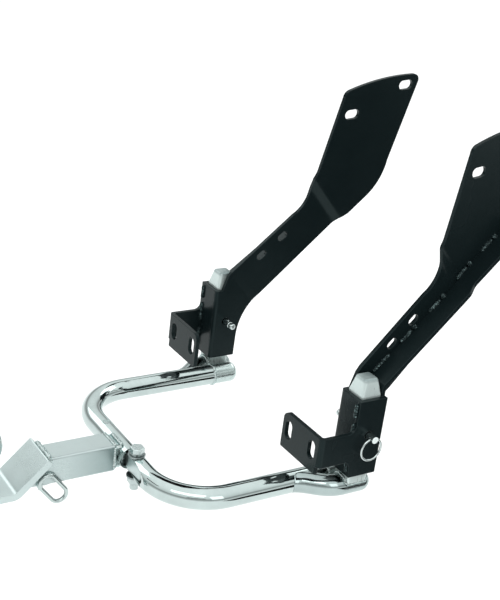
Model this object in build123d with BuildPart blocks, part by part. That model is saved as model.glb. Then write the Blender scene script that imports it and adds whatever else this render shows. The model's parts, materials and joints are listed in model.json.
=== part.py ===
"""Detachable motorcycle trailer hitch: two side arms, a U-shaped bar that plugs into them, drawbar and ball.

Frame: origin at the centre of the hitch ball, +X right, +Y forward, +Z up. Lengths in millimetres.
"""

import os
from math import atan2, cos, radians, sin, sqrt, tan

from build123d import *

os.makedirs("parts", exist_ok=True)

# ---- stock ----
plate = 4.76            # side arm and socket plate
gap = 0.35              # clearance of an upright in its socket, each side
tube_r = 12.7           # U bar tube
tube_bore = 10.3
upright = 25.4          # square upright
upright_wall = 3.2
drawbar_size = 31.75    # square drawbar
drawbar_wall = 4.0
ball_r = 23.8           # hitch ball

# ---- layout ----
bar_y, bar_z = 164.0, -37.5         # axis of the cross tube
leg_x = 126.0                       # axis of each leg
bend_r = 63.5                       # tube bend, centreline
leg_end_y = 353.5
up_x, up_y = 151.0, 368.5           # axis of each upright
socket_z0, socket_z1 = -18.0, 73.5
pin_z = 31.4
half_in = upright / 2 + gap                 # half the inside of a socket
x_in = up_x - half_in - plate               # inboard face of the arm plate at the socket
x_out = up_x + half_in + plate              # outboard face of the socket
y_rear = up_y - half_in - plate
y_front = up_y + half_in + plate

# ---- side arm ----
arm_angle = 42.0                    # rise of the arm
arm_lean = 3.6                      # inward lean above the socket
bend_s = 337.0                      # distance along the arm to the first bend
joggle_s0, joggle_s1 = 481.5, 493.0
joggle = 5.5
strip_w = 25.6                      # stiffening strip, width
strip_angle = 40.5
stitch_ys = [397.0, 431.0, 467.0, 504.0, 537.0]
blade_holes = [(503.5, 300.3), (576.0, 337.1)]
blade_slot = (20.0, 12.0)
arm_slots = [(435.4, 142.0), (409.0, 118.3)]
arm_slot = (14.5, 8.5)

# ---- rear flange ----
flange_y = 307.2                    # rear face
flange_x = 97.7                     # free edge
flange_z0, flange_z1 = -7.4, 36.2
web_z0 = 2.0                        # lower edge of the web that carries the flange
flange_relief = 6.0
flange_slots = [(109.0, 17.0), (152.5, 17.0)]
flange_slot = (22.0, 12.0)

# ---- legs ----
plug_len = 32.0                     # rounded plug closing each leg
foot_r = 12.2
foot_y0, foot_y1, foot_y2 = 298.0, 358.0, 381.0
cap_z0, cap_z1, cap_top = 75.5, 94.0, 18.0

# ---- pivot ----
pivot_x = 36.5
pivot_bolt_r = 4.76
tube_gap_x = 22.6                   # end of the left tube half
tongue_h, tongue_w = 16.0, 11.0
tongue_x0, tongue_x1 = -48.0, 58.0
plug_weld_x, plug_weld_r = -40.0, 4.0
cut_tip_x = 88.0                    # tip of the oblique cut in the right tube half
bolt_flats = 14.29
washer_t, spring_t = 1.8, 2.4
seat_z = 11.7                       # flats on the right tube half for the washers

# ---- drawbar and ball ----
drawbar_z = bar_z - 1.0
drawbar_y1 = 148.0
plate_t = 8.0                       # ball plate
plate_half = 25.3
bend_y, top_y, top_z = 31.7, 66.8, -17.9
platform_z = -51.2                  # upper face of the platform
shank_r, shank_z = 9.5, -86.0
ball_neck_r, ball_collar_r = 12.5, 18.0
link_x, link_wire = 18.35, 2.4      # chain link beside the drawbar, wire radius
link_y, link_z = 76.7, -58.2        # its middle
link_len, link_w, link_tilt = 39.0, 18.0, -51.0

# ---- release pin ----
pin_r = 3.97
pin_hole_r = 4.77
pin_tip_x = 113.5
pin_end_x = 181.6
ring_x = 177.0                      # cross hole for the ring
detent_x, detent_r, detent_rise = 126.0, 1.6, 0.45
ring_r, ring_wire, ring_hole_r = 13.0, 1.2, 2.1

side = Plane.YZ                     # outlines seen from the right
along_arm = Plane(
    origin=(0, 0, 0),
    x_dir=(0, cos(radians(arm_angle)), sin(radians(arm_angle))),
    z_dir=(0, sin(radians(arm_angle)), -cos(radians(arm_angle))),
)


slope = tan(radians(arm_lean))
x_joggle0 = x_in - (joggle_s0 - bend_s) * slope
x_joggle1 = x_joggle0 - joggle
arm_stations = [
    (200, x_in),
    (bend_s, x_in),
    (joggle_s0, x_joggle0),
    (joggle_s1, x_joggle1),
    (800, x_joggle1 - (800 - joggle_s1) * slope),
]


def arm_x(y, z):
    """X of the arm plate's inboard face at a point of its side outline."""
    s = y * cos(radians(arm_angle)) + z * sin(radians(arm_angle))
    for (s0, x0), (s1, x1) in zip(arm_stations, arm_stations[1:]):
        if s <= s1:
            return x0 + (x1 - x0) * (s - s0) / (s1 - s0)


def arm_section(inner, outer):
    """Closed profile of a layer of the bent arm, from inner to outer millimetres outboard of its inboard face."""
    low = [(s, x + inner) for s, x in arm_stations]
    high = [(s, x + outer) for s, x in arm_stations]
    FilletPolyline(*low, radius=18)
    FilletPolyline(*high, radius=18)
    Line(low[0], high[0])
    Line(low[-1], high[-1])


def bead(start, end, radius):
    """Round-ended weld bead between two points."""
    with BuildPart() as lump:
        with BuildLine():
            path = Line(start, end)
        with BuildSketch(Plane(origin=path @ 0, z_dir=path % 0)):
            Circle(radius)
        sweep(path=path)
        with Locations(start, end):
            Sphere(radius)
    return lump.part


# ======================= right side arm =======================
with BuildPart() as right_arm_plate:
    with BuildSketch(side):
        with BuildLine():
            Polyline((y_rear, socket_z0), (y_front, socket_z0), (y_front + 0.6, 12))
            ThreePointArc((y_front + 0.6, 12), (394.5, 40.5), (415, 65.4))
            Polyline((415, 65.4), (513, 162.5), (524.7, 169), (548, 191.5))
            ThreePointArc((548, 191.5), (562, 210.5), (570.5, 240))
            Line((570.5, 240), (593.6, 341))
            ThreePointArc((593.6, 341), (592.6, 347.6), (586.5, 350.8))
            ThreePointArc((586.5, 350.8), (543, 345), (495.5, 330.2))
            ThreePointArc((495.5, 330.2), (490.9, 326.6), (488.9, 320.5))
            Line((488.9, 320.5), (470, 226))
            Polyline((470, 226), (466.5, 218), (465.9, 203))
            ThreePointArc((465.9, 203), (460.5, 184), (447, 169.5))
            Polyline((447, 169.5), (370, 97.5), (366, 91.5), (360.5, socket_z1))
            Polyline((360.5, socket_z1), (y_rear, socket_z1), (y_rear, socket_z0))
        make_face()
    extrude(amount=250)
    with BuildSketch(along_arm):
        with BuildLine():
            arm_section(0, plate)
        make_face()
    extrude(amount=500, both=True, mode=Mode.INTERSECT)
    with BuildSketch(side):
        with Locations(*blade_holes):
            SlotOverall(*blade_slot, rotation=7)
        with Locations(*arm_slots):
            SlotOverall(*arm_slot, rotation=arm_angle)
        with Locations((up_y, pin_z)):
            Circle(pin_hole_r)
    extrude(amount=250, mode=Mode.SUBTRACT)
    fillet(right_arm_plate.edges().filter_by(Axis.Z).group_by(Axis.Y)[0].sort_by(Axis.X)[0], radius=4.2)
right_arm_plate.part.label = "right_arm_plate"

# Strip standing square off the arm plate; its lower end is the front wall of the socket.
strip_rise = tan(radians(strip_angle))
strip_turn = (y_front - plate, 83.8)
strip_top = (600.0, strip_turn[1] + (600 - strip_turn[0]) * strip_rise)
with BuildPart() as right_arm_strip:
    with BuildSketch(side):
        with BuildLine():
            FilletPolyline((y_front - plate, 60), strip_turn, strip_top, radius=10)
            offset(amount=-plate, side=Side.RIGHT, closed=True)
        make_face()
        with BuildSketch(side, mode=Mode.INTERSECT):
            with BuildLine():
                Polyline((380, 50), (430, 60), (552, 196), (567, 222), (568, 262), (500, 262), (380, 120), (380, 50))
            make_face()
    extrude(amount=250)
    with BuildSketch(along_arm):
        with BuildLine():
            arm_section(plate, plate + strip_w)
        make_face()
    extrude(amount=500, both=True, mode=Mode.INTERSECT)
    with BuildSketch(Plane.XY.offset(socket_z0)):
        with Locations((x_in + plate, y_front - plate)):
            Rectangle(2 * half_in, plate, align=(Align.MIN, Align.MIN))
    extrude(amount=socket_z1 - socket_z0)
    with BuildSketch(Plane.XY.offset(60)):
        with Locations((up_x, up_y)):
            Rectangle(2 * half_in, 2 * half_in)
    extrude(amount=14, mode=Mode.SUBTRACT)
right_arm_strip.part.label = "right_arm_strip"

with BuildPart() as right_socket_bracket:
    with BuildSketch(Plane.YZ.offset(x_out - plate)):
        with BuildLine():
            Polyline(
                (flange_y, web_z0),
                (y_rear - 7, web_z0),
                (y_rear - 2, web_z0 - 5),
                (y_rear, socket_z0),
                (y_front, socket_z0),
                (y_front, socket_z1),
                (y_rear, socket_z1),
                (y_rear, flange_z1 + 9),
            )
            ThreePointArc((y_rear, flange_z1 + 9), (y_rear - 2.7, flange_z1 + 2.4), (y_rear - 9, flange_z1))
            Polyline((y_rear - 9, flange_z1), (flange_y, flange_z1), (flange_y, web_z0))
        make_face()
    extrude(amount=plate)
    with BuildSketch(Plane.XZ.offset(-flange_y)):
        with BuildLine():
            Polyline(
                (flange_x, flange_z0),
                (x_out - flange_relief, flange_z0),
                (x_out - flange_relief, web_z0),
                (x_out, web_z0),
                (x_out, flange_z1),
                (flange_x, flange_z1),
                close=True,
            )
        make_face()
    extrude(amount=-plate)
    corner = right_socket_bracket.edges().filter_by(Axis.Z).group_by(Axis.Y)[0].sort_by(Axis.X)[-1]
    fillet(corner, radius=5)
    inner = [
        e
        for e in right_socket_bracket.edges().filter_by(Axis.Z)
        if abs(e.center().X - (x_out - plate)) < 0.1 and abs(e.center().Y - (flange_y + plate)) < 0.1
    ]
    fillet(inner, radius=2)
    tips = [e for e in right_socket_bracket.edges().filter_by(Axis.Y) if abs(e.center().X - flange_x) < 0.1]
    tips.sort(key=lambda e: e.center().Z)
    fillet(tips[0], radius=1.5)
    fillet(tips[-1:], radius=9)
    with BuildSketch(Plane.XZ.offset(-flange_y)):
        with Locations(*flange_slots):
            SlotOverall(*flange_slot, rotation=90)
    extrude(amount=-plate, mode=Mode.SUBTRACT)
    with BuildSketch(Plane.YZ.offset(x_out - plate)):
        with Locations((up_y, pin_z)):
            Circle(pin_hole_r)
    extrude(amount=plate, mode=Mode.SUBTRACT)
right_socket_bracket.part.label = "right_socket_bracket"

with BuildPart() as right_socket_rear_wall:
    with BuildSketch(Plane.XY.offset(socket_z0)):
        with Locations((up_x, y_rear)):
            Rectangle(2 * half_in, plate, align=(Align.CENTER, Align.MIN))
    extrude(amount=socket_z1 - socket_z0)
right_socket_rear_wall.part.label = "right_socket_rear_wall"


with BuildPart() as right_arm_welds:
    for y in stitch_ys:
        ends = [(y + d, strip_turn[1] + (y + d - strip_turn[0]) * strip_rise) for d in (-9, 9)]
        add(bead(*[(arm_x(*p) + plate, *p) for p in ends], 2.3))
    for z0, z1 in ((-12, 12), (24, 46), (54, 69)):
        add(bead((x_out - plate, y_rear, z0), (x_out - plate, y_rear, z1), 1.8))
    add(right_arm_plate.part, mode=Mode.SUBTRACT)
    add(right_arm_strip.part, mode=Mode.SUBTRACT)
    add(right_socket_bracket.part, mode=Mode.SUBTRACT)
    add(right_socket_rear_wall.part, mode=Mode.SUBTRACT)
right_arm_welds.part.label = "right_arm_welds"

# ======================= U bar =======================
with BuildPart() as left_tube:
    with BuildLine():
        left_path = FilletPolyline(
            (tube_gap_x, bar_y, bar_z), (-leg_x, bar_y, bar_z), (-leg_x, leg_end_y, bar_z), radius=bend_r
        )
    with BuildSketch(Plane(origin=left_path @ 0, z_dir=left_path % 0)):
        Circle(tube_r)
        Circle(tube_bore, mode=Mode.SUBTRACT)
    sweep(path=left_path)
    with BuildSketch(Plane.XY.offset(bar_z)):
        with Locations((plug_weld_x, bar_y)):
            Circle(plug_weld_r)
    extrude(amount=tube_r, mode=Mode.SUBTRACT)
left_tube.part.label = "left_tube"

with BuildPart() as right_tube:
    with BuildLine():
        right_path = FilletPolyline(
            (18, bar_y, bar_z), (leg_x, bar_y, bar_z), (leg_x, leg_end_y, bar_z), radius=bend_r
        )
    with BuildSketch(Plane(origin=right_path @ 0, z_dir=right_path % 0)):
        Circle(tube_r)
        Circle(tube_bore, mode=Mode.SUBTRACT)
    sweep(path=right_path)
    # round the free end about the pivot
    with BuildSketch(Plane.XY.offset(bar_z)):
        with Locations((pivot_x, bar_y)):
            Rectangle(40, 40, align=(Align.MAX, Align.CENTER))
            Circle(13, mode=Mode.SUBTRACT)
    extrude(amount=20, both=True, mode=Mode.SUBTRACT)
    # oblique cut across the rear wall
    with BuildSketch(Plane.XY.offset(bar_z)):
        with BuildLine():
            Polyline(
                (15, bar_y - 2.4), (cut_tip_x, bar_y - tube_r), (cut_tip_x, bar_y - 20), (15, bar_y - 20), close=True
            )
        make_face()
    extrude(amount=20, both=True, mode=Mode.SUBTRACT)
    # fork for the tongue: open all round behind the pivot, open to the rear beyond it
    with BuildSketch(Plane.XY.offset(bar_z)):
        with Locations((pivot_x, bar_y)):
            Rectangle(30, 30, align=(Align.MAX, Align.CENTER))
            Rectangle(30, 20, align=(Align.MIN, Align.MAX))
    extrude(amount=tongue_h / 2 + 0.4, both=True, mode=Mode.SUBTRACT)
    # bolt hole and flat seats for the washers
    with BuildSketch(Plane.XY.offset(bar_z)):
        with Locations((pivot_x, bar_y)):
            Circle(pivot_bolt_r + 0.09)
    extrude(amount=20, both=True, mode=Mode.SUBTRACT)
    for z, way in ((seat_z, 1), (-seat_z, -1)):
        with BuildSketch(Plane.XY.offset(bar_z + z)):
            with Locations((pivot_x, bar_y)):
                Circle(10)
        extrude(amount=5 * way, mode=Mode.SUBTRACT)
right_tube.part.label = "right_tube"

with BuildPart() as pivot_tongue:
    with BuildSketch(Plane.XY.offset(bar_z)):
        with Locations((tongue_x0, bar_y)):
            Rectangle(tongue_x1 - tongue_x0, tongue_w, align=(Align.MIN, Align.CENTER))
        with Locations((pivot_x, bar_y)):
            Circle(pivot_bolt_r + 0.05, mode=Mode.SUBTRACT)
    extrude(amount=tongue_h / 2, both=True)
    fillet(pivot_tongue.edges().filter_by(Axis.Z).sort_by(Axis.X)[-2:], radius=4)
pivot_tongue.part.label = "pivot_tongue"

with BuildPart() as tongue_plug_weld:
    with BuildSketch(Plane.XY.offset(bar_z + tongue_h / 2)):
        with Locations((plug_weld_x, bar_y)):
            Circle(plug_weld_r)
    extrude(amount=tube_r + 0.8 - tongue_h / 2)
    fillet(tongue_plug_weld.faces().sort_by(Axis.Z)[-1].edges(), radius=1.2)
tongue_plug_weld.part.label = "tongue_plug_weld"

washer_z = seat_z + 0.3
head_z = washer_z + washer_t + spring_t
with BuildPart() as pivot_bolt:
    with BuildSketch(Plane.XY.offset(bar_z + head_z)):
        with Locations((pivot_x, bar_y)):
            RegularPolygon(bolt_flats / 2, 6, major_radius=False)
    extrude(amount=6.2)
    chamfer(pivot_bolt.faces().sort_by(Axis.Z)[-1].edges(), length=0.7)
    with BuildSketch(Plane.XY.offset(bar_z + head_z)):
        with Locations((pivot_x, bar_y)):
            Circle(pivot_bolt_r)
    extrude(amount=-(head_z + 30))
    chamfer(pivot_bolt.faces().sort_by(Axis.Z)[0].edges(), length=0.9)
pivot_bolt.part.label = "pivot_bolt"

with BuildPart() as pivot_washer:
    with BuildSketch(Plane.XY.offset(bar_z + washer_z)):
        with Locations((pivot_x, bar_y)):
            Circle(9.6)
            Circle(pivot_bolt_r + 0.05, mode=Mode.SUBTRACT)
    extrude(amount=washer_t)
pivot_washer.part.label = "pivot_washer"

with BuildPart() as pivot_lower_washer:
    add(pivot_washer.part.mirror(Plane.XY.offset(bar_z)))
pivot_lower_washer.part.label = "pivot_lower_washer"

with BuildPart() as pivot_spring_washer:
    with BuildSketch(Plane.XY.offset(bar_z + washer_z + washer_t)):
        with Locations((pivot_x, bar_y)):
            Circle(8)
            Circle(pivot_bolt_r + 0.05, mode=Mode.SUBTRACT)
            with Locations((6, -3)):
                Rectangle(8, 1.1, rotation=-25, mode=Mode.SUBTRACT)
    extrude(amount=spring_t)
pivot_spring_washer.part.label = "pivot_spring_washer"

with BuildPart() as pivot_nut:
    nut_z = bar_z - washer_z - washer_t
    with BuildSketch(Plane.XY.offset(nut_z)):
        with Locations((pivot_x, bar_y)):
            RegularPolygon(bolt_flats / 2, 6, major_radius=False)
    extrude(amount=-7.5)
    chamfer(pivot_nut.faces().sort_by(Axis.Z)[0].edges(), length=0.6)
    with BuildSketch(Plane.XY.offset(nut_z - 7.5)):
        with Locations((pivot_x, bar_y)):
            Circle(bolt_flats / 2 - 1)
    extrude(amount=-1.8)
    fillet(pivot_nut.faces().sort_by(Axis.Z)[0].edges(), radius=0.8)
    with BuildSketch(Plane.XY.offset(nut_z)):
        with Locations((pivot_x, bar_y)):
            Circle(pivot_bolt_r + 0.05)
    extrude(amount=-20, mode=Mode.SUBTRACT)
pivot_nut.part.label = "pivot_nut"

with BuildPart() as right_leg_plug:
    with BuildSketch(Plane.XZ.offset(-leg_end_y)):
        with Locations((leg_x, bar_z)):
            Circle(tube_r)
    extrude(amount=-plug_len)
    fillet(right_leg_plug.faces().sort_by(Axis.Y)[-1].edges(), radius=8)
right_leg_plug.part.label = "right_leg_plug"

# Foot: a dogleg of tube welded along the outboard side of the leg, under the upright.
with BuildPart() as right_foot:
    with BuildLine() as foot_path:
        bow = Spline(
            (leg_x, foot_y0, bar_z), (up_x, foot_y1, bar_z), tangents=((0, 1, 0), (0, 1, 0)), tangent_scalars=(1.3, 1.3)
        )
        Line(bow @ 1, (up_x, foot_y2, bar_z))
    with BuildSketch(Plane(origin=bow @ 0, z_dir=bow % 0)):
        Circle(foot_r)
    sweep(path=foot_path.wire())
    with Locations((up_x, foot_y2, bar_z)):
        Sphere(foot_r)
    with BuildSketch(Plane.XZ.offset(-(foot_y0 - 10))):
        with Locations((leg_x, bar_z)):
            Circle(tube_r)
    extrude(amount=-(leg_end_y + plug_len - foot_y0 + 30), mode=Mode.SUBTRACT)
right_foot.part.label = "right_foot"

with BuildPart() as right_upright:
    with BuildSketch(Plane.XY.offset(bar_z)):
        with Locations((up_x, up_y)):
            RectangleRounded(upright, upright, 2.4)
    extrude(amount=cap_z0 - bar_z)
    with BuildSketch(Plane.XY.offset(cap_z0)):
        with Locations((up_x, up_y)):
            RectangleRounded(upright, upright, 2.4)
    with BuildSketch(Plane.XY.offset(cap_z1)):
        with Locations((up_x, up_y)):
            RectangleRounded(cap_top, cap_top, 4)
    loft()
    fillet(right_upright.faces().sort_by(Axis.Z)[-1].edges(), radius=3.4)
    with BuildSketch(Plane.XY.offset(bar_z)):
        with Locations((up_x, up_y)):
            Rectangle(upright - 2 * upright_wall, upright - 2 * upright_wall)
    extrude(amount=cap_z0 - bar_z - 4, mode=Mode.SUBTRACT)
    with BuildSketch(Plane.YZ.offset(up_x)):
        with Locations((up_y, pin_z)):
            Circle(pin_hole_r)
    extrude(amount=30, both=True, mode=Mode.SUBTRACT)
    add(right_foot.part, mode=Mode.SUBTRACT)
    with BuildSketch(Plane.XZ.offset(-(foot_y0 - 10))):
        with Locations((leg_x, bar_z)):
            Circle(tube_r)
    extrude(amount=-200, mode=Mode.SUBTRACT)
    with BuildSketch(Plane.XY.offset(bar_z - 20)):
        with Locations((up_x, up_y)):
            Rectangle(60, 60)
    extrude(amount=20 + foot_r - 6, mode=Mode.SUBTRACT)
right_upright.part.label = "right_upright"

with BuildPart() as right_foot_weld:
    with BuildSketch(Plane.XY.offset(bar_z + 7)):
        with Locations((up_x, up_y)):
            RectangleRounded(upright + 4, upright + 4, 4)
    extrude(amount=7)
    chamfer(right_foot_weld.faces().sort_by(Axis.Z)[-1].edges(), length=1.5)
    with BuildSketch(Plane.XY.offset(bar_z)):
        with Locations((up_x, up_y)):
            RectangleRounded(upright, upright, 2.4)
    extrude(amount=30, mode=Mode.SUBTRACT)
    add(right_foot.part, mode=Mode.SUBTRACT)
    with BuildSketch(Plane.XZ.offset(-(foot_y0 - 10))):
        with Locations((leg_x, bar_z)):
            Circle(tube_r)
    extrude(amount=-200, mode=Mode.SUBTRACT)
right_foot_weld.part.label = "right_foot_weld"

# ======================= drawbar and ball =======================
plate_rise = atan2(top_z - platform_z, top_y - bend_y)
front_face = Plane(
    origin=(0, top_y + plate_t * sin(plate_rise), top_z - plate_t * cos(plate_rise)),
    x_dir=(1, 0, 0),
    z_dir=(0, sin(plate_rise), -cos(plate_rise)),
)

with BuildPart() as ball_plate:
    with BuildSketch(side):
        with BuildLine():
            FilletPolyline((-plate_half - 2, platform_z), (bend_y, platform_z), (top_y, top_z), radius=6)
            offset(amount=plate_t, side=Side.RIGHT, closed=True)
        make_face()
    extrude(amount=plate_half, both=True)
    with BuildSketch(Plane.XY.offset(-80)):
        Circle(plate_half)
        Rectangle(2 * plate_half, 90, align=(Align.CENTER, Align.MIN))
    extrude(amount=80, mode=Mode.INTERSECT)
    with BuildSketch(Plane.XY.offset(-80)):
        Circle(shank_r + 0.05)
    extrude(amount=40, mode=Mode.SUBTRACT)
    fillet(ball_plate.edges().filter_by(Axis.X).sort_by(Axis.Z)[-2:], radius=1)
ball_plate.part.label = "ball_plate"

with BuildPart() as drawbar:
    with BuildSketch(Plane.XZ.offset(-20)):
        with Locations((0, drawbar_z)):
            RectangleRounded(drawbar_size, drawbar_size, 2.5)
            Rectangle(drawbar_size - 2 * drawbar_wall, drawbar_size - 2 * drawbar_wall, mode=Mode.SUBTRACT)
    extrude(amount=-(drawbar_y1 - 20))
    split(bisect_by=front_face, keep=Keep.TOP)
drawbar.part.label = "drawbar"

with BuildPart() as drawbar_weld:
    with BuildSketch(Plane.XZ.offset(-drawbar_y1)):
        with Locations((0, drawbar_z)):
            RectangleRounded(31, 28, 5)
    extrude(amount=-11)
    fillet(drawbar_weld.faces().sort_by(Axis.Y)[-1].edges(), radius=3)
    with BuildSketch(Plane.YZ):
        with Locations((bar_y, bar_z)):
            Circle(tube_r)
    extrude(amount=40, both=True, mode=Mode.SUBTRACT)
drawbar_weld.part.label = "drawbar_weld"

# Beads where the drawbar meets the plate, and a lump at one upper corner.
half = drawbar_size / 2
seam_top = drawbar_z + half
seam_low = drawbar_z - half
seam_y = front_face.origin.Y + (seam_top - front_face.origin.Z) / tan(plate_rise)
seam_low_y = front_face.origin.Y + (seam_low - front_face.origin.Z) / tan(plate_rise)
with BuildPart() as plate_weld:
    crown_y, crown_z = top_y + 4.3, top_z - 2.7
    add(bead((-half - 3, crown_y, crown_z), (half, crown_y, crown_z), 2.9))
    add(bead((-half, seam_low_y, seam_low), (half, seam_low_y, seam_low), 2.2))
    for x in (-half, half):
        add(bead((x, seam_y, seam_top - 0.6), (x, seam_low_y, seam_low), 2.2))
    with Locations((half + 0.6, crown_y + 0.7, crown_z - 0.8)):
        Sphere(3.6)
    add(ball_plate.part, mode=Mode.SUBTRACT)
    with BuildSketch(Plane.XZ.offset(-20)):
        with Locations((0, drawbar_z)):
            Rectangle(drawbar_size, drawbar_size)
    extrude(amount=-(drawbar_y1 - 20), mode=Mode.SUBTRACT)
plate_weld.part.label = "plate_weld"

ball_top = sqrt(ball_r**2 - 8**2)
neck_top = -sqrt(ball_r**2 - ball_neck_r**2)
with BuildPart() as hitch_ball:
    with BuildSketch(Plane.XZ):
        with BuildLine():
            Polyline(
                (8, ball_top),
                (0, ball_top),
                (0, shank_z),
                (shank_r, shank_z),
                (shank_r, platform_z),
                (ball_collar_r, platform_z),
                (ball_collar_r, platform_z + 5),
                (ball_collar_r - 1.5, platform_z + 6.5),
                (ball_neck_r + 2.4, -33),
            )
            ThreePointArc((ball_neck_r + 2.4, -33), (ball_neck_r + 0.2, -28), (ball_neck_r, neck_top))
            ThreePointArc((ball_neck_r, neck_top), (ball_r, 0), (8, ball_top))
        make_face()
    revolve(axis=Axis.Z)
    chamfer(hitch_ball.edges().filter_by(GeomType.CIRCLE).sort_by(Axis.Z)[0], length=1)
hitch_ball.part.label = "hitch_ball"

plate_under = platform_z - plate_t
with BuildPart() as ball_washer:
    with BuildSketch(Plane.XY.offset(plate_under)):
        Circle(16.5)
        Circle(shank_r + 0.05, mode=Mode.SUBTRACT)
    extrude(amount=-3.5)
ball_washer.part.label = "ball_washer"

with BuildPart() as ball_nut:
    with BuildSketch(Plane.XY.offset(plate_under - 3.5)):
        RegularPolygon(14.3, 6, major_radius=False)
        Circle(shank_r + 0.05, mode=Mode.SUBTRACT)
    extrude(amount=-16)
    chamfer(ball_nut.faces().sort_by(Axis.Z)[0].outer_wire().edges(), length=1.2)
ball_nut.part.label = "ball_nut"

link_plane = Plane(
    origin=(link_x, link_y, link_z),
    x_dir=(0, cos(radians(link_tilt)), sin(radians(link_tilt))),
    z_dir=(1, 0, 0),
)
with BuildPart() as right_chain_loop:
    reach = (link_len - link_w) / 2
    with BuildLine(link_plane) as link:
        near = Line((-reach, -link_w / 2), (reach, -link_w / 2))
        ThreePointArc((reach, -link_w / 2), (reach + link_w / 2, 0), (reach, link_w / 2))
        Line((reach, link_w / 2), (-reach, link_w / 2))
        ThreePointArc((-reach, link_w / 2), (-reach - link_w / 2, 0), (-reach, -link_w / 2))
    with BuildSketch(Plane(origin=near @ 0, z_dir=near % 0)):
        Circle(link_wire)
    sweep(path=link.wire())
right_chain_loop.part.label = "right_chain_loop"

# ======================= release pin =======================
with BuildPart() as right_pin:
    with BuildSketch(Plane.XZ.offset(-up_y)):
        with BuildLine():
            Polyline(
                (pin_tip_x, pin_z),
                (pin_tip_x, pin_z + pin_r),
                (pin_tip_x + 5, pin_z + pin_r),
                (pin_tip_x + 5.6, pin_z + pin_r - 0.7),
                (pin_tip_x + 7, pin_z + pin_r - 0.7),
                (pin_tip_x + 7.6, pin_z + pin_r),
                (pin_end_x, pin_z + pin_r),
                (pin_end_x, pin_z),
                close=True,
            )
        make_face()
    revolve(axis=Axis(origin=(0, up_y, pin_z), direction=(1, 0, 0)))
    fillet(right_pin.faces().sort_by(Axis.X)[-1].edges(), radius=1)
    fillet(right_pin.faces().sort_by(Axis.X)[0].edges(), radius=2.4)
    # cross hole for the ring, and the pocket of the detent ball
    with BuildSketch(Plane.XZ.offset(-up_y)):
        with Locations((ring_x, pin_z)):
            Circle(ring_hole_r)
    extrude(amount=20, both=True, mode=Mode.SUBTRACT)
    with BuildSketch(Plane.XY.offset(pin_z)):
        with Locations((detent_x, up_y)):
            Circle(detent_r + 0.05)
    extrude(amount=10, mode=Mode.SUBTRACT)
right_pin.part.label = "right_pin"

with BuildPart() as right_detent_ball:
    with Locations((detent_x, up_y, pin_z + pin_r + detent_rise - detent_r)):
        Sphere(detent_r)
right_detent_ball.part.label = "right_detent_ball"

with BuildPart() as right_pin_ring:
    with Locations(Location((ring_x, up_y, pin_z - ring_r), (0, 90, 0))):
        Torus(ring_r, ring_wire)
right_pin_ring.part.label = "right_pin_ring"

# ======================= left-hand parts, mirrored across the middle =======================
with BuildPart() as left_arm_plate:
    add(right_arm_plate.part.mirror(Plane.YZ))
left_arm_plate.part.label = "left_arm_plate"

with BuildPart() as left_arm_strip:
    add(right_arm_strip.part.mirror(Plane.YZ))
left_arm_strip.part.label = "left_arm_strip"

with BuildPart() as left_socket_bracket:
    add(right_socket_bracket.part.mirror(Plane.YZ))
left_socket_bracket.part.label = "left_socket_bracket"

with BuildPart() as left_socket_rear_wall:
    add(right_socket_rear_wall.part.mirror(Plane.YZ))
left_socket_rear_wall.part.label = "left_socket_rear_wall"

with BuildPart() as left_arm_welds:
    add(right_arm_welds.part.mirror(Plane.YZ))
left_arm_welds.part.label = "left_arm_welds"

with BuildPart() as left_leg_plug:
    add(right_leg_plug.part.mirror(Plane.YZ))
left_leg_plug.part.label = "left_leg_plug"

with BuildPart() as left_foot:
    add(right_foot.part.mirror(Plane.YZ))
left_foot.part.label = "left_foot"

with BuildPart() as left_upright:
    add(right_upright.part.mirror(Plane.YZ))
left_upright.part.label = "left_upright"

with BuildPart() as left_foot_weld:
    add(right_foot_weld.part.mirror(Plane.YZ))
left_foot_weld.part.label = "left_foot_weld"

with BuildPart() as left_chain_loop:
    add(right_chain_loop.part.mirror(Plane.YZ))
left_chain_loop.part.label = "left_chain_loop"

with BuildPart() as left_pin:
    add(right_pin.part.mirror(Plane.YZ))
left_pin.part.label = "left_pin"

with BuildPart() as left_detent_ball:
    add(right_detent_ball.part.mirror(Plane.YZ))
left_detent_ball.part.label = "left_detent_ball"

with BuildPart() as left_pin_ring:
    add(right_pin_ring.part.mirror(Plane.YZ))
left_pin_ring.part.label = "left_pin_ring"

# ======================= files =======================
export_step(right_arm_plate.part, "parts/right_arm_plate.step")
export_step(right_arm_strip.part, "parts/right_arm_strip.step")
export_step(right_socket_bracket.part, "parts/right_socket_bracket.step")
export_step(right_socket_rear_wall.part, "parts/right_socket_rear_wall.step")
export_step(right_arm_welds.part, "parts/right_arm_welds.step")
export_step(left_tube.part, "parts/left_tube.step")
export_step(right_tube.part, "parts/right_tube.step")
export_step(pivot_tongue.part, "parts/pivot_tongue.step")
export_step(tongue_plug_weld.part, "parts/tongue_plug_weld.step")
export_step(pivot_bolt.part, "parts/pivot_bolt.step")
export_step(pivot_washer.part, "parts/pivot_washer.step")
export_step(pivot_lower_washer.part, "parts/pivot_lower_washer.step")
export_step(pivot_spring_washer.part, "parts/pivot_spring_washer.step")
export_step(pivot_nut.part, "parts/pivot_nut.step")
export_step(right_leg_plug.part, "parts/right_leg_plug.step")
export_step(right_foot.part, "parts/right_foot.step")
export_step(right_upright.part, "parts/right_upright.step")
export_step(right_foot_weld.part, "parts/right_foot_weld.step")
export_step(ball_plate.part, "parts/ball_plate.step")
export_step(drawbar.part, "parts/drawbar.step")
export_step(drawbar_weld.part, "parts/drawbar_weld.step")
export_step(plate_weld.part, "parts/plate_weld.step")
export_step(hitch_ball.part, "parts/hitch_ball.step")
export_step(ball_washer.part, "parts/ball_washer.step")
export_step(ball_nut.part, "parts/ball_nut.step")
export_step(right_chain_loop.part, "parts/right_chain_loop.step")
export_step(right_pin.part, "parts/right_pin.step")
export_step(right_detent_ball.part, "parts/right_detent_ball.step")
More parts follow.
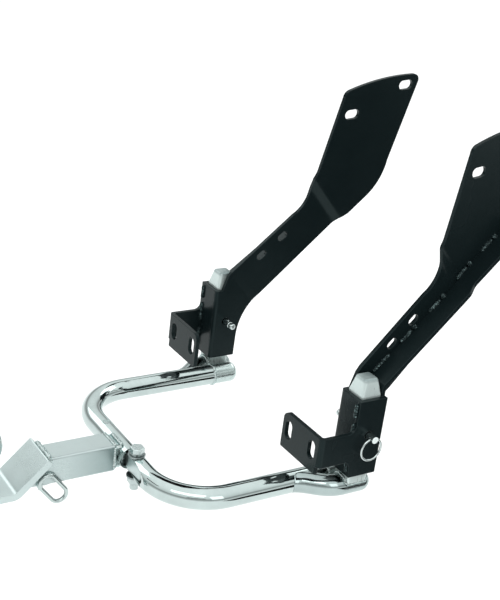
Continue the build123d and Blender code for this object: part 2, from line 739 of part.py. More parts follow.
export_step(right_pin_ring.part, "parts/right_pin_ring.step")
export_step(left_arm_plate.part, "parts/left_arm_plate.step")
export_step(left_arm_strip.part, "parts/left_arm_strip.step")
export_step(left_socket_bracket.part, "parts/left_socket_bracket.step")
export_step(left_socket_rear_wall.part, "parts/left_socket_rear_wall.step")
export_step(left_arm_welds.part, "parts/left_arm_welds.step")
export_step(left_leg_plug.part, "parts/left_leg_plug.step")
export_step(left_foot.part, "parts/left_foot.step")
export_step(left_upright.part, "parts/left_upright.step")
export_step(left_foot_weld.part, "parts/left_foot_weld.step")
export_step(left_chain_loop.part, "parts/left_chain_loop.step")
export_step(left_pin.part, "parts/left_pin.step")
export_step(left_detent_ball.part, "parts/left_detent_ball.step")
export_step(left_pin_ring.part, "parts/left_pin_ring.step")
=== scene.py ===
"""Looks of the detachable motorcycle hitch: metals, weld beads, threads, studio and camera."""

import json
import math

import bmesh
import bpy
import numpy as np
from mathutils import Matrix, Vector, noise


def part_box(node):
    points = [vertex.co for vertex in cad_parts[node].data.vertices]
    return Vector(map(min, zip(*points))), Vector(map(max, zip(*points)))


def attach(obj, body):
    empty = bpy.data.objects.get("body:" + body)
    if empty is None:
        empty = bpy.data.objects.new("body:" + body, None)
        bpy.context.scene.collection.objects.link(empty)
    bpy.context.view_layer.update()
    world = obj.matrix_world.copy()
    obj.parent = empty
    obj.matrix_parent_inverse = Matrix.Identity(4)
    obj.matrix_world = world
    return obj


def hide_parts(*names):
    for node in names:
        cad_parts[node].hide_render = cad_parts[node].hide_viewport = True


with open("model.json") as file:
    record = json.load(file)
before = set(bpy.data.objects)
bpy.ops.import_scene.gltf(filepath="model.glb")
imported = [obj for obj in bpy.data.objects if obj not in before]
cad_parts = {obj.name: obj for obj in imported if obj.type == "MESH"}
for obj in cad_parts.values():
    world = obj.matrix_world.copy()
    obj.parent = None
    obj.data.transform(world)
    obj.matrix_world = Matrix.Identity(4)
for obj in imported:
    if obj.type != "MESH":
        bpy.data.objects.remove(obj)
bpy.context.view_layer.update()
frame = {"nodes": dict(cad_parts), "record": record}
nodes = frame["nodes"]
scene = bpy.context.scene

# Main places of the CAD model, metres. Places on one side are those of the right side.
BAR_Y, BAR_Z = 0.164, -0.0375           # axis of the cross tube
LEG_X = 0.126                           # axis of a leg of the U bar
RING_Y, RING_R = 0.3515, 0.0118         # ring weld beside the joint of a leg and its rounded plug
FOOT_R = 0.0122
FOOT_DULL_Y = 0.352                     # ahead of this, from just behind its upright, a foot is duller
UPRIGHT = Vector((0.151, 0.3685, 0))
UPRIGHT_HALF = 0.0127
CROWN_Z = (0.0895, 0.0930)              # a painted dark reflection turns an upright darker between these, just below its top
PIVOT = Vector((0.0365, BAR_Y, BAR_Z))
DRAWBAR_HALF = 0.015875
DRAWBAR_Z = BAR_Z - 0.001
DRAWBAR_TOP, DRAWBAR_LOW = DRAWBAR_Z + DRAWBAR_HALF, DRAWBAR_Z - DRAWBAR_HALF
DRAWBAR_END = 0.148                     # its square front end, at the cross tube
SIDE_SHADE_Y = (0.090, DRAWBAR_END)          # painted shade: its sides turn darker between these
CUT_TOP_Y, CUT_LOW_Y = 0.0748, 0.0401   # its slanted rear end, at the upper and the lower face
PLATE_SEAM_Y, PLATE_SEAM_Z = 0.0711, -0.0206    # upper weld between that end and the ball plate
PIN_END = 0.1816                        # outer end of a release pin
SIDES = (("right", 1, "right_side"), ("left", -1, "hitch"))


# ------------------------------------------------------------------ materials
COOL = (0.74, 1.0, 1.0, 1)      # tint of the highlights
NO_LIGHT = (0.0, 0.0, 0.0, 1)


def rgba(tint, level=1.0):
    """tint darkened to level, as the four numbers of a shader colour."""
    return tuple(v * level for v in tint) + (1,)


class Look:
    """A node material: a Principled shader and shorthand for adding nodes to it."""

    def __init__(self, name, **shader):
        self.material = bpy.data.materials.new(name)
        self.material.use_nodes = True
        self.tree = self.material.node_tree
        self.tree.nodes.clear()
        out = self.tree.nodes.new("ShaderNodeOutputMaterial")
        self.shader = self.tree.nodes.new("ShaderNodeBsdfPrincipled")
        self.tree.links.new(self.shader.outputs["BSDF"], out.inputs["Surface"])
        for key, value in shader.items():
            self.shader.inputs[key.replace("_", " ")].default_value = value
        self.place = self.add("ShaderNodeTexCoord").outputs["Object"]

    def add(self, kind, inputs=(), **props):
        node = self.tree.nodes.new(kind)
        for key, value in props.items():
            setattr(node, key, value)
        for key, value in dict(inputs).items():
            self.plug(value, node.inputs[key])
        return node

    def plug(self, value, socket):
        if isinstance(value, bpy.types.NodeSocket):
            self.tree.links.new(value, socket)
        else:
            socket.default_value = value

    def stretched(self, x, y, z):
        """Object coordinates scaled differently along each axis."""
        return self.add("ShaderNodeMapping", {"Vector": self.place, "Scale": (x, y, z)}).outputs[0]

    def along(self, axis):
        """The X, Y or Z of the place, in metres."""
        return self.add("ShaderNodeSeparateXYZ", {"Vector": self.place}).outputs[axis]

    def grain(self, scale, detail=2.0, rough=0.5, where=None, distortion=0.0):
        return self.add(
            "ShaderNodeTexNoise",
            {
                "Vector": where or self.place,
                "Scale": scale,
                "Detail": detail,
                "Roughness": rough,
                "Distortion": distortion,
            },
        ).outputs["Fac"]

    def spread(self, value, low, high, start=0.0, end=1.0):
        """Maps value from start..end to low..high."""
        return self.add(
            "ShaderNodeMapRange",
            {"Value": value, "From Min": start, "From Max": end, "To Min": low, "To Max": high},
        ).outputs["Result"]

    def mask(self, value, start, end):
        """0 where value is below start, 1 where it is above end."""
        return self.spread(value, 0.0, 1.0, start, end)

    def math(self, how, a, b=0.0):
        node = self.add("ShaderNodeMath", operation=how)
        self.plug(a, node.inputs[0])
        self.plug(b, node.inputs[1])
        return node.outputs[0]

    def blend(self, factor, a, b):
        node = self.add("ShaderNodeMix", data_type="RGBA")
        self.plug(factor, node.inputs["Factor"])
        self.plug(a, node.inputs[6])
        self.plug(b, node.inputs[7])
        return node.outputs[2]

    def tinted(self, base, mask, strength, colour):
        """base turned toward colour by strength where mask is 1."""
        return self.blend(self.math("MULTIPLY", mask, strength), base, colour)

    def rounded(self, radius):
        """Normal with edges softened by radius, and a mask that is 1 along those edges."""
        soft = self.add("ShaderNodeBevel", {"Radius": radius}, samples=6).outputs[0]
        flat = self.add("ShaderNodeNewGeometry").outputs["Normal"]
        along = self.add("ShaderNodeVectorMath", operation="DOT_PRODUCT")
        self.plug(soft, along.inputs[0])
        self.plug(flat, along.inputs[1])
        return soft, self.spread(along.outputs["Value"], 1.0, 0.0, 0.72, 0.985)

    def shaded(self, colour, reach, strength):
        """Colour with painted shade, darkened where other parts stand close by."""
        open_air = self.add("ShaderNodeAmbientOcclusion", {"Distance": reach}, samples=8).outputs["AO"]
        shade = self.spread(open_air, 1.0 - strength, 1.0, 0.15, 0.85)
        return self.blend(shade, NO_LIGHT, colour)

    def bump(self, height, strength, distance, normal=None):
        inputs = {"Height": height, "Strength": strength, "Distance": distance}
        if normal:
            inputs["Normal"] = normal
        return self.add("ShaderNodeBump", inputs).outputs[0]

    def set(self, **sockets):
        for key, value in sockets.items():
            self.plug(value, self.shader.inputs[key.replace("_", " ")])


def powder_coat(name):
    """Black powder coat: fine orange peel, uneven sheen, dust, thin pale rubs along the cut edges."""
    look = Look(name, Specular_IOR_Level=0.17, Specular_Tint=COOL)
    soft, edge = look.rounded(0.0011)
    cloud = look.grain(9, 3, 0.55)
    rub = look.math("MULTIPLY", edge, look.mask(look.grain(85, 4, 0.7), 0.42, 0.66))
    dust = look.mask(look.grain(1900, 1, 0.4), 0.70, 0.76)
    base = look.blend(cloud, (0.0040, 0.0078, 0.0086, 1), (0.0062, 0.0112, 0.0122, 1))
    base = look.tinted(base, dust, 0.25, (0.030, 0.036, 0.038, 1))
    base = look.tinted(base, rub, 0.30, (0.080, 0.098, 0.102, 1))
    rough = look.math("ADD", look.spread(cloud, 0.19, 0.28, 0.3, 0.7), look.math("MULTIPLY", rub, 0.08))
    peel = look.math("ADD", look.grain(620, 2, 0.5), look.math("MULTIPLY", look.grain(1800, 1), 0.35))
    look.set(Base_Color=base, Roughness=rough, Normal=look.bump(peel, 0.16, 0.00035, soft))
    return look.material


def chrome(name, tint=(0.53, 0.615, 0.605), smudge=0.10, satin_from=None):
    """Bright plating: near-mirror with faint haze, polishing lines and slow waviness.

    smudge is the roughness where it is haziest. Ahead of satin_from, a Y, it is duller.
    """
    look = Look(name, Metallic=1.0)
    soft = look.rounded(0.0007)[0]
    haze = look.grain(26, 4, 0.6, distortion=0.6)
    lines = look.grain(240, 2, 0.5, look.stretched(1, 1, 7))
    base = look.blend(look.mask(haze, 0.35, 0.7), rgba(tint, 0.86), rgba(tint))
    # painted shade where other parts stand close by
    base = look.shaded(base, 0.05, 0.75)
    rough = look.math(
        "ADD", look.spread(haze, 0.045, smudge, 0.35, 0.72), look.spread(lines, 0.0, 0.03, 0.5, 0.75)
    )
    if satin_from:
        dull = look.spread(look.along("Y"), 0.0, 0.17, satin_from, satin_from + 0.004)
        rough = look.math("ADD", rough, dull)
    wave = look.math("ADD", look.grain(34, 2, 0.4), look.math("MULTIPLY", lines, 0.03))
    look.set(Base_Color=base, Roughness=rough, Normal=look.bump(wave, 0.10, 0.0006, soft))
    return look.material


def satin_plate(
    name,
    tint,
    rough=(0.24, 0.38),
    brush=(1, 0.12, 1),
    brush_scale=900,
    pits=0.25,
    edges=0.35,
    grooves=0.5,
    metal=1.0,
    side_shade=None,
    crown=None,
):
    """Satin plated steel: brush marks, cloudy tone, small pits and a painted highlight along the edges.

    rough is the roughness of its smoothest and its dullest patches. brush stretches the marks, which run
    along the axis with the smallest number. pits, edges and grooves are strengths, and edges is that of the
    painted edge highlight, which below 0 is a painted dark line instead. Of the two ranges, the first is
    one of Y over which painted shade darkens the sides, and crown one of Z over which a painted dark
    reflection darkens the metal.
    """
    look = Look(name, Metallic=metal)
    soft, edge = look.rounded(0.0009)
    cloud = look.grain(17, 5, 0.62, distortion=0.4)
    brushed = look.grain(brush_scale, 3, 0.6, look.stretched(*brush))
    pit = look.mask(look.grain(1300, 2, 0.6), 0.66, 0.74)
    base = look.blend(look.mask(cloud, 0.3, 0.72), rgba(tint, 0.86), rgba(tint))
    base = look.tinted(base, look.mask(brushed, 0.4, 0.7), 0.14, (0.72, 0.77, 0.76, 1))
    base = look.tinted(base, pit, pits, (0.16, 0.18, 0.18, 1))
    # painted highlight along the edges; below 0 a painted dark line
    painted_edge_light = (0.80, 0.84, 0.83, 1) if edges > 0 else (0.20, 0.25, 0.25, 1)
    base = look.tinted(base, edge, abs(edges), painted_edge_light)
    # painted shade where other parts stand close by
    base = look.shaded(base, 0.03, 0.6 * metal)
    if crown:
        # painted dark reflection, more in some patches than in others
        patches = look.spread(cloud, 1.0, 0.5, 0.4, 0.6)
        painted_dark_reflection = look.math("MULTIPLY", look.spread(look.along("Z"), 0.0, 0.9, *crown), patches)
        base = look.blend(painted_dark_reflection, base, (0.09, 0.135, 0.14, 1))
    if side_shade:
        # painted shade on the sides only, which are a little darker than the top along their whole length
        normal = look.add("ShaderNodeNewGeometry").outputs["Normal"]
        facing_up = look.add("ShaderNodeSeparateXYZ", {"Vector": normal}).outputs["Z"]
        sideways = look.math("SUBTRACT", 1.0, look.math("ABSOLUTE", facing_up))
        painted_side_shade = look.math("ADD", look.spread(look.along("Y"), 0.0, 0.52, *side_shade), 0.13)
        base = look.tinted(base, painted_side_shade, sideways, (0.13, 0.20, 0.20, 1))
    roughness = look.math(
        "ADD", look.spread(cloud, *rough, 0.3, 0.7), look.spread(brushed, -0.03, 0.07, 0.3, 0.7)
    )
    relief = look.math("SUBTRACT", look.math("MULTIPLY", brushed, grooves), look.math("MULTIPLY", pit, 0.5))
    look.set(Base_Color=base, Roughness=roughness, Normal=look.bump(relief, 0.10, 0.0003, soft))
    return look.material


def weld_metal(name, tint, rough):
    """Skin of a plated weld bead: glossy crests, dull valleys, small dark flecks.

    rough is the roughness of the crests and of the valleys.
    """
    look = Look(name, Metallic=1.0, Specular_Tint=COOL, Specular_IOR_Level=0.5)
    slag = look.grain(320, 4, 0.7, distortion=0.5)
    fleck = look.mask(look.grain(1500, 2, 0.5), 0.6, 0.72)
    base = look.blend(look.mask(slag, 0.35, 0.6), rgba(tint, 0.6), rgba(tint))
    base = look.tinted(base, fleck, 0.3, rgba(tint, 0.4))
    crests, valleys = rough
    look.set(
        Base_Color=base,
        Roughness=look.spread(slag, valleys, crests, 0.3, 0.7),
        Normal=look.bump(slag, 0.35, 0.0006),
    )
    return look.material


def coated_weld(name):
    """Weld bead under black coating: dark valleys, glossy crests with painted glints in bright metallic
    teal.
    """
    look = Look(name, Specular_IOR_Level=0.16, Specular_Tint=COOL)
    slag = look.grain(620, 3, 0.6, distortion=0.8)
    # painted glints: the crests get a bright metallic teal colour
    painted_glint = look.mask(slag, 0.53, 0.63)
    look.set(
        Base_Color=look.blend(painted_glint, (0.004, 0.008, 0.009, 1), (0.17, 0.24, 0.24, 1)),
        Metallic=look.math("MULTIPLY", painted_glint, 0.9),
        Roughness=look.spread(painted_glint, 0.24, 0.12),
        Normal=look.bump(slag, 0.9, 0.0006),
    )
    return look.material


def pin_steel(name):
    """Plated pin, its staked outer end painted pale and matte as a painted highlight."""
    look = Look(name)
    soft = look.rounded(0.0006)[0]
    brushed = look.grain(1500, 3, 0.6, look.stretched(0.1, 1, 1))
    outward = look.math("ABSOLUTE", look.along("X"))
    # painted highlight on the outer end: pale, matte and hardly metallic
    painted_end_highlight = look.mask(outward, PIN_END - 0.0008, PIN_END - 0.0004)
    marks = look.spread(brushed, 0.0, 0.3, 0.4, 0.7)
    base = look.blend(marks, (0.50, 0.57, 0.565, 1), (0.72, 0.77, 0.76, 1))
    pale = look.blend(brushed, (0.62, 0.70, 0.69, 1), (0.86, 0.92, 0.91, 1))
    look.set(
        Base_Color=look.blend(painted_end_highlight, base, pale),
        Metallic=look.spread(painted_end_highlight, 1.0, 0.12),
        Roughness=look.spread(painted_end_highlight, 0.20, 0.46),
        Normal=look.bump(brushed, 0.10, 0.0003, soft),
    )
    return look.material


BLACK = powder_coat("black_powder_coat")
BLACK_WELD = coated_weld("coated_weld")
CHROME = chrome("bar_chrome")
# darker than the bar's chrome: a painted dark reflection of the black socket above the foot
FOOT = chrome("foot_chrome", (0.42, 0.50, 0.495), satin_from=FOOT_DULL_Y)
BALL = chrome("ball_chrome", (0.56, 0.63, 0.62), 0.08)
ZINC = satin_plate("satin_plate", (0.55, 0.645, 0.64), pits=0.08, edges=0.25, grooves=0.3)
# its sides are darkened with painted shade
DRAWBAR = satin_plate(
    "drawbar_plate",
    (0.56, 0.65, 0.645),
    pits=0.08,
    edges=0.25,
    grooves=0.3,
    side_shade=SIDE_SHADE_Y,
)
# painted dark lines along its edges and a painted dark reflection at its top
CAP = satin_plate(
    "upright_plate",
    (0.62, 0.715, 0.70),
    (0.24, 0.36),
    (1, 1, 0.12),
    800,
    pits=0.1,
    edges=-0.5,
    grooves=0.15,
    metal=0.5,
    crown=CROWN_Z,
)
PLUG = satin_plate("plug_plate", (0.52, 0.62, 0.605), (0.20, 0.30), (1, 0.3, 1), 700, 0.05, 0.2, 0.1)
BOLT = satin_plate("bolt_plate", (0.50, 0.58, 0.575), (0.16, 0.28), (1, 1, 1), 1400, 0.06, 0.35, 0.12)
WASHER = satin_plate("washer_plate", (0.26, 0.31, 0.31), (0.24, 0.36), (1, 1, 1), 1400, 0.4)
PIN = pin_steel("pin_plate")
RING = satin_plate("ring_wire", (0.60, 0.67, 0.665), (0.10, 0.20), (1, 1, 1), 1600, 0.1)
WELD = weld_metal("plated_weld", (0.52, 0.60, 0.59), (0.13, 0.34))

# The look of each material slot
LOOKS = {
    "black_coat": BLACK,
    "bar_chrome": CHROME,
    "zinc": ZINC,
    "bolt_zinc": BOLT,
    "ball_chrome": BALL,
    "pin_steel": PIN,
    "ring_steel": RING,
}
# Nodes that look different from the rest of their slot
OWN_LOOKS = {
    "drawbar": DRAWBAR,
    "drawbar_weld": WELD,
    "tongue_plug_weld": WELD,
    "pivot_washer": WASHER,
    "pivot_lower_washer": WASHER,
    "pivot_spring_washer": WASHER,
}
for side, _, _ in SIDES:
    OWN_LOOKS |= {f"{side}_upright": CAP, f"{side}_leg_plug": PLUG, f"{side}_foot": FOOT}
node_slot = {s["node"]: s["material_slot"] for s in frame["record"]["subparts"]}
for name, obj in nodes.items():
    look = OWN_LOOKS.get(name) or LOOKS[node_slot[name]]
    if not obj.material_slots:
        obj.data.materials.append(look)
    for s in obj.material_slots:
        s.material = look


# ------------------------------------------------------------------ pieces
def piece(name, mesh, look, body, replaced=()):
    """A smooth object that rides on body and stands in for the replaced nodes."""
    obj = bpy.data.objects.new(name, mesh)
    scene.collection.objects.link(obj)
    mesh.materials.append(look)
    for p in mesh.polygons:
        p.use_smooth = True
    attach(obj, body)
    if replaced:
        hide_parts(*replaced)
    return obj


# Scallops of a weld bead: from one to the next, rows of points in each, and points round the bead
SCALLOP, ROWS, AROUND = 0.0021, 6, 18
# How unevenly they are spaced and how far they curve, in radii of the bead, and how lumpy their skin is
DRIFT, CURVE, LUMPS = 0.35, 0.5, 0.13


def lump(bm, points, radius, seed, closed):
    """A weld bead along points: scallops laid one on the next, with rounded ends."""
    pts = [Vector(p) for p in points]
    if closed:
        pts.append(pts[0])
    lengths = [(b - a).length for a, b in zip(pts, pts[1:])]
    total = sum(lengths)
    steps = max(ROWS, round(total / (SCALLOP / ROWS)))
    rows = []
    for i in range(steps + 1):
        s = total * i / steps
        k, left = 0, s
        while k < len(lengths) - 1 and left > lengths[k]:
            left -= lengths[k]
            k += 1
        here = pts[k].lerp(pts[k + 1], min(1.0, left / lengths[k]))
        way = (pts[k + 1] - pts[k]).normalized()
        side = way.orthogonal().normalized()
        up = way.cross(side)
        end = 1.0
        if not closed:
            to_end = min(s, total - s) / radius
            end = math.sqrt(max(0.02, 1 - (1 - min(1.0, to_end)) ** 2))
        row = []
        for j in range(AROUND):
            a = math.tau * j / AROUND
            out = side * math.cos(a) + up * math.sin(a)
            drift = DRIFT * radius * noise.noise(here * 400 + Vector((seed, 0, 0)))
            phase = ((s + drift + CURVE * radius * abs(math.sin(a * 0.5))) / SCALLOP) % 1.0
            # a scallop rises faster than it falls
            swell = 0.86 + 0.17 * math.sin(math.pi * phase ** 0.6)
            rough = 1 + LUMPS * noise.noise((here + out * radius) * 330 + Vector((seed, seed, 0)))
            row.append(bm.verts.new(here + out * radius * swell * rough * end))
        rows.append(row)
    pairs = list(zip(rows, rows[1:]))
    if closed:
        # the last row lies on the first, which takes its place
        pairs[-1] = (rows[-2], rows[0])
        for v in rows[-1]:
            bm.verts.remove(v)
        rows.pop()
    for a, b in pairs:
        for j in range(AROUND):
            k = (j + 1) % AROUND
            bm.faces.new((a[j], a[k], b[k], b[j]))
    if not closed:
        bm.faces.new(list(reversed(rows[0])))
        bm.faces.new(rows[-1])


def beads(name, runs, look, body, replaced=(), closed=False):
    """Several beads as one piece, all of them open or all closed. A run is (points, radius)."""
    bm = bmesh.new()
    for i, (points, radius) in enumerate(runs):
        lump(bm, points, radius, seed=7.3 * i + len(name), closed=closed)
    bmesh.ops.recalc_face_normals(bm, faces=bm.faces)
    mesh = bpy.data.meshes.new(name)
    bm.to_mesh(mesh)
    bm.free()
    return piece(name, mesh, look, body, replaced)


def islands(node, join=1e-5):
    """The separate lumps of a CAD node, each an array of points, lowest lump first."""
    bm = bmesh.new()
    bm.from_mesh(nodes[node].data)
    bmesh.ops.remove_doubles(bm, verts=bm.verts, dist=join)
    left, found = set(bm.verts), []
    while left:
        group, todo = [], [left.pop()]
        while todo:
            v = todo.pop()
            group.append(v)
            for e in v.link_edges:
                w = e.other_vert(v)
                if w in left:
                    left.remove(w)
                    todo.append(w)
        found.append(np.array([v.co[:] for v in group]))
    bm.free()
    return sorted(found, key=lambda g: tuple(g.mean(axis=0)[::-1]))


def long_run(points, radius):
    """Both ends of the centre line of a long lump, lower one first, just inside its ends."""
    middle = points.mean(axis=0)
    axis = np.linalg.svd(points - middle)[2][0]
    if axis[2] < 0:
        axis = -axis
    s = (points - middle) @ axis
    return [Vector(middle + axis * v) for v in (s.min() + 0.3 * radius, s.max() - 0.3 * radius)]


def flipped(points, sign):
    """Points of the right side, or their mirror image on the left when sign is -1."""
    return [Vector((p[0] * sign, p[1], p[2])) for p in points]


def across(half, y, z):
    """Both ends of a line straight across the hitch."""
    return [(-half, y, z), (half, y, z)]


# Welds of the side arms. Those at the socket and the first stitch above it are plain beads.
# The stitches that start ahead of STITCH_Y are thicker, and each ends in a blob.
STITCH_Y = 0.39
PLAIN_BEAD, STITCH, STITCH_BLOB = 0.0023, 0.0026, 0.0036
for side, _, body in SIDES:
    runs = []
    for group in islands(f"{side}_arm_welds"):
        a, b = long_run(group, PLAIN_BEAD)
        if a.y > STITCH_Y:
            runs += [([a, a.lerp(b, 0.70)], STITCH), ([a.lerp(b, 0.76), b], STITCH_BLOB)]
        else:
            runs.append(([a, b], PLAIN_BEAD))
    beads(f"{side}_arm_beads", runs, BLACK_WELD, body, (f"{side}_arm_welds",))

# Weld of each upright on its foot: over the foot at the front and rear, straight along the sides.
# Then the ring weld of each leg's rounded plug.
SADDLE = math.radians(60)       # how far the weld goes down each side of the foot
SADDLE_R = FOOT_R + 0.0003      # it lies on the foot
SADDLE_BEAD, RING_BEAD = 0.0023, 0.0021
for side, sign, body in SIDES:
    loop = []
    for y, turn in ((UPRIGHT.y - UPRIGHT_HALF, 1), (UPRIGHT.y + UPRIGHT_HALF, -1)):
        for i in range(13):
            a = SADDLE * (i / 6 - 1) * turn
            loop.append((UPRIGHT.x + SADDLE_R * math.sin(a), y, BAR_Z + SADDLE_R * math.cos(a)))
    runs = [(flipped(loop, sign), SADDLE_BEAD)]
    beads(f"{side}_foot_bead", runs, WELD, body, (f"{side}_foot_weld",), closed=True)
    ring = [
        (LEG_X + RING_R * math.cos(a), RING_Y, BAR_Z + RING_R * math.sin(a))
        for a in (math.tau * i / 40 for i in range(40))
    ]
    runs = [(flipped(ring, sign), RING_BEAD)]
    beads(f"{side}_plug_bead", runs, WELD, body, closed=True)

# Welds between the drawbar's slanted end and the ball plate, with a blob at the right upper corner
top, low, w = DRAWBAR_TOP, DRAWBAR_LOW, DRAWBAR_HALF
plate_runs = [
    ([(-w - 0.003, PLATE_SEAM_Y, PLATE_SEAM_Z), (w, PLATE_SEAM_Y, PLATE_SEAM_Z)], 0.0029),
    (across(w, CUT_LOW_Y, low), 0.0022),
    ([(w - 0.0010, 0.0705, PLATE_SEAM_Z), (w + 0.0022, 0.0722, PLATE_SEAM_Z)], 0.0041),
]
for x in (-w, w):
    plate_runs.append(([(x, CUT_TOP_Y, top - 0.0006), (x, CUT_LOW_Y, low)], 0.0021))
beads("plate_beads", plate_runs, WELD, "hitch", ("plate_weld",))

# Welds of the drawbar's square end on the cross tube: along its top and underside, over the tube,
# down the tube at the right and left, and down the sides of the drawbar
COLLAR_HALF = 0.0150
seam_y = DRAWBAR_END + 0.001
tube_y = DRAWBAR_END + 0.0095
collar_runs = [
    (across(COLLAR_HALF, seam_y, top - 0.0008), 0.0024),
    (across(COLLAR_HALF, seam_y, low + 0.0020), 0.0022),
    (across(0.0130, tube_y, BAR_Z + 0.0128), 0.0026),
]
for x, radius in ((COLLAR_HALF, 0.0030), (-COLLAR_HALF, 0.0026)):
    collar_runs.append(([(x, DRAWBAR_END + 0.0105, BAR_Z + 0.0110), (x, tube_y, BAR_Z - 0.0120)], radius))
for x in (-0.0152, 0.0152):
    collar_runs.append(([(x, seam_y, top - 0.002), (x, seam_y, low + 0.003)], 0.0022))
beads("collar_beads", collar_runs, WELD, "hitch")

# Welds of the chain loops, round the end of each link that lies on the side of the drawbar
LINK_Y, LINK_Z, LINK_TILT = 0.0767, -0.0582, math.radians(-51)      # middle of a link, and its slope
LINK_REACH, LINK_R = 0.0105, 0.009      # from there to the centre of its round end, and that end's radius
LINK_BEAD_X, LINK_BEAD = 0.0168, 0.0030
for side, sign, _ in SIDES:
    arc = []
    for i in range(15):
        a = math.radians(75 + 210 * i / 14)
        u, v = LINK_R * math.cos(a) - LINK_REACH, LINK_R * math.sin(a)
        y = LINK_Y + u * math.cos(LINK_TILT) - v * math.sin(LINK_TILT)
        z = LINK_Z + u * math.sin(LINK_TILT) + v * math.cos(LINK_TILT)
        arc.append((LINK_BEAD_X, y, z))
    beads(f"{side}_loop_beads", [(flipped(arc, sign), LINK_BEAD)], WELD, "hitch")


def thread(name, centre, z0, z1, r, pitch, look, body, depth=0.0005, around=48):
    """A screw thread of radius r as a closed skin between two heights, thinner at both ends."""
    bm = bmesh.new()
    rings = []
    # four rings to a turn
    levels = int((z1 - z0) / pitch * 4) + 1
    for k in range(levels + 1):
        ring = []
        for j in range(around):
            a = math.tau * j / around
            z = z0 + (z1 - z0) * k / levels
            phase = ((z - z0) / pitch - j / around) % 1.0
            fall = depth * abs(2 * phase - 1)
            full = min(1.0, min(z - z0, z1 - z) / (0.6 * pitch) + 0.25)
            radius = r - fall - depth * (1 - full)
            ring.append(bm.verts.new((centre.x + radius * math.cos(a), centre.y + radius * math.sin(a), z)))
        rings.append(ring)
    for a, b in zip(rings, rings[1:]):
        for j in range(around):
            k = (j + 1) % around
            bm.faces.new((a[j], a[k], b[k], b[j]))
    bm.faces.new(list(reversed(rings[0])))
    bm.faces.new(rings[-1])
    mesh = bpy.data.meshes.new(name)
    bm.to_mesh(mesh)
    bm.free()
    return piece(name, mesh, look, body)


# The threads show below the nuts and reach a little way into them
PITCH = 0.0016
BOLT_THREAD_R, SHANK_THREAD_R = 0.00498, 0.0098
BALL_CENTRE = Vector((0, 0, 0))
INTO_NUT = 0.001
bolt_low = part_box("pivot_bolt")[0][2] + 0.0006
nut_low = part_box("pivot_nut")[0][2] + INTO_NUT
thread("pivot_thread", PIVOT, bolt_low, nut_low, BOLT_THREAD_R, PITCH, BOLT, "hitch")
shank_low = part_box("hitch_ball")[0][2] + 0.0008
ball_nut_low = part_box("ball_nut")[0][2] + INTO_NUT
thread(
    "ball_thread", BALL_CENTRE, shank_low, ball_nut_low, SHANK_THREAD_R, PITCH, BALL, "hitch"
)

# ------------------------------------------------------------------ studio
FLOOR_Z = -0.32
MIDDLE = Vector((0, 0.25, 0.1))     # about the middle of the hitch
LAMP_AIM = Vector((0, 0.28, 0.05))


def card(name, centre, facing, width, height, look):
    """A flat panel of the studio, turned toward the point facing."""
    bm = bmesh.new()
    bmesh.ops.create_grid(bm, x_segments=1, y_segments=1, size=0.5)
    turn = (Vector(facing) - Vector(centre)).to_track_quat("Z", "Y").to_matrix().to_4x4()
    shape = Matrix.Translation(centre) @ turn @ Matrix.Diagonal((width, height, 1, 1))
    bmesh.ops.transform(bm, matrix=shape, verts=bm.verts)
    mesh = bpy.data.meshes.new(name)
    bm.to_mesh(mesh)
    bm.free()
    mesh.materials.append(look)
    obj = bpy.data.objects.new(name, mesh)
    scene.collection.objects.link(obj)
    return obj


pale = Look("pale_floor", Roughness=0.9, Specular_IOR_Level=0.1)
pale.set(Base_Color=pale.blend(pale.grain(0.6, 2), (0.925, 0.93, 0.93, 1), (0.95, 0.95, 0.95, 1)))
card("floor", (0, 0.3, FLOOR_Z), (0, 0.3, 1), 40, 40, pale.material)

# Black panels that show only in what shines, as its dark lines
flag = Look("studio_flag", Roughness=1.0, Specular_IOR_Level=0.0, Base_Color=(0.004, 0.004, 0.004, 1))
NEAR_FLAGS = (
    # name, middle, point that it faces, width, height
    ("floor_flag", (1.75, 1.90, FLOOR_Z + 0.002), (1.75, 1.90, 1), 2.6, 2.5),
    ("roof_flag", (-1.14, 1.40, 1.62), MIDDLE, 0.50, 0.34),
    ("strip_flag", (-0.21, 0.325, 0.42), (0.13, 0.46, 0.16), 0.26, 0.26),
)
FAR_FLAGS = (
    # azimuth and height of the panel's middle in degrees, distance, width, height
    (20, 24, 2.2, 0.9, 0.14),
    (120, 18, 2.4, 1.2, 0.18),
    (200, 30, 2.4, 1.0, 0.20),
)
panels = [card(*values, flag.material) for values in NEAR_FLAGS]
for i, (azimuth, height, far, width, tall) in enumerate(FAR_FLAGS):
    a, h = math.radians(azimuth), math.radians(height)
    spot = MIDDLE + far * Vector((math.sin(a) * math.cos(h), math.cos(a) * math.cos(h), math.sin(h)))
    panels.append(card(f"flag_{i}", spot, MIDDLE, width, tall, flag.material))
for panel in panels:
    panel.visible_camera = False
    panel.visible_diffuse = False
    panel.visible_shadow = False


def softbox(name, place, size, power):
    """A lamp of that width and height, its power in watts. The camera doesn't see it."""
    light = bpy.data.lights.new(name, "AREA")
    light.shape = "RECTANGLE"
    light.size, light.size_y = size
    light.energy = power
    obj = bpy.data.objects.new(name, light)
    obj.location = place
    obj.rotation_mode = "QUATERNION"
    obj.rotation_quaternion = (LAMP_AIM - Vector(place)).to_track_quat("-Z", "Y")
    obj.visible_camera = False
    scene.collection.objects.link(obj)


LAMPS = (
    # name, place, width and height, watts
    ("key", (1.6, -1.4, 2.6), (2.8, 1.0), 17),
    ("fill", (-2.2, -0.6, 1.7), (1.4, 1.4), 8),
    ("rim", (-0.6, 2.6, 2.0), (2.0, 1.2), 14),
    ("side", (2.8, 0.4, 1.4), (1.0, 1.4), 5),
)
for lamp in LAMPS:
    softbox(*lamp)

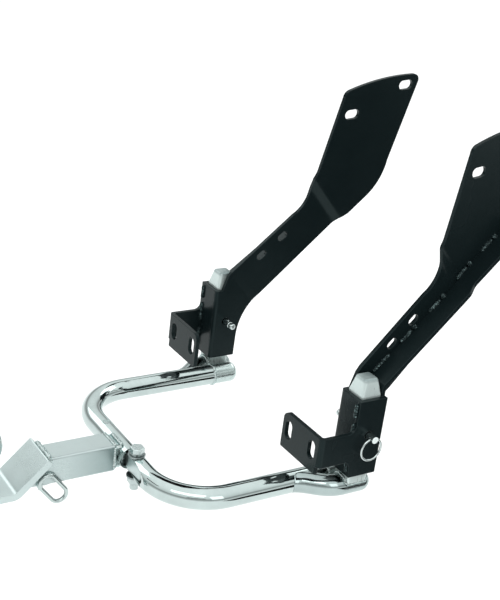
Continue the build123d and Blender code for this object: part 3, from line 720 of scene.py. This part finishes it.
# The room: pale low down, a dark band above that, and bright overhead. Each band has the sine of its
# height above the horizon, and its brightness.
HORIZON, OVERHEAD = (0.93, 0.935, 0.935, 1), (1.34, 1.35, 1.35, 1)
BANDS = ((0.08, 0.80), (0.20, 0.34), (0.38, 0.98), (0.62, 1.2))
world = bpy.data.worlds.new("studio")
scene.world = world
world.use_nodes = True
tree = world.node_tree
tree.nodes.clear()
out = tree.nodes.new("ShaderNodeOutputWorld")
sky = tree.nodes.new("ShaderNodeBackground")
coords = tree.nodes.new("ShaderNodeTexCoord")
height = tree.nodes.new("ShaderNodeSeparateXYZ")
ramp = tree.nodes.new("ShaderNodeValToRGB")
ramp.color_ramp.elements[0].position = 0.0
ramp.color_ramp.elements[0].color = HORIZON
ramp.color_ramp.elements[1].position = 1.0
ramp.color_ramp.elements[1].color = OVERHEAD
for spot, level in BANDS:
    stop = ramp.color_ramp.elements.new(spot)
    stop.color = (level * 0.98, level, level * 0.995, 1)
sky.inputs["Strength"].default_value = 1.0
tree.links.new(coords.outputs["Generated"], height.inputs[0])
tree.links.new(height.outputs["Z"], ramp.inputs["Fac"])
tree.links.new(ramp.outputs["Color"], sky.inputs["Color"])
tree.links.new(sky.outputs[0], out.inputs["Surface"])
scene.view_settings.view_transform = "Standard"
scene.view_settings.look = "None"

# ------------------------------------------------------------------ camera
CAMERA_PLACE = (0.99306, -0.37408, 0.63025)
CAMERA_AHEAD = Vector((-0.7593, 0.5233, -0.3868))
CAMERA_UP = Vector((-0.3888, 0.1119, 0.9145))       # the picture is tilted
LENS, SENSOR = 70.1, 36.0       # focal length and width of the sensor, millimetres
camera = bpy.data.objects.new("camera", bpy.data.cameras.new("camera"))
scene.collection.objects.link(camera)
camera.data.sensor_width = SENSOR
camera.data.lens = LENS
camera.data.clip_end = 100.0
look_dir = CAMERA_AHEAD.normalized()
right_dir = look_dir.cross(CAMERA_UP).normalized()
up_dir = right_dir.cross(look_dir)
turn = Matrix((right_dir, up_dir, -look_dir)).transposed()
camera.matrix_world = Matrix.Translation(CAMERA_PLACE) @ turn.to_4x4()
scene.camera = camera
